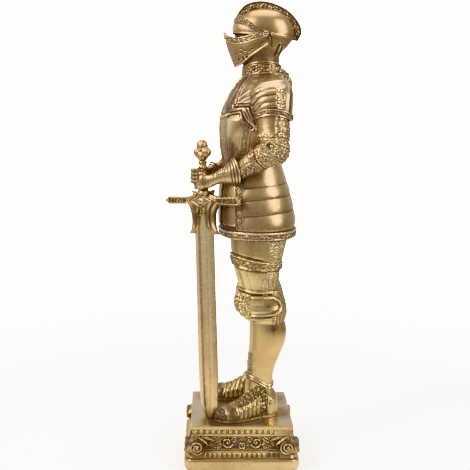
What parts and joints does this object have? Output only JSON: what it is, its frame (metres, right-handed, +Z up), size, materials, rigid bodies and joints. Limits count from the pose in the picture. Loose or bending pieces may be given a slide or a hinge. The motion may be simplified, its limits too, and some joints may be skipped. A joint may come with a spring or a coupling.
{
  "type": "knight statue",
  "caption": "Gilded statue of a standing knight in full plate armour with a closed helmet, both hands on the grip of a downturned longsword, on a square plinth with scroll corners.",
  "frame": {"origin": "centre of the plinth's underside", "axes": "+Z up; the knight faces -Y and the knight's left side is +X"},
  "size_m": [0.0849, 0.088, 0.3003],
  "materials": {
    "gilt_plinth": "antique gold paint on cast resin, satin, brown in the recesses, the top face dull and pinkish",
    "gilt_armour": "antique gold paint on cast resin, semi-gloss, dark brown patina in the relief",
    "gilt_sword": "antique gold paint on cast resin, semi-gloss"
  },
  "bodies": {
    "root": {"plinth": "gilt_plinth", "knight": "gilt_armour", "sword": "gilt_sword"}
  },
  "joints": []
}
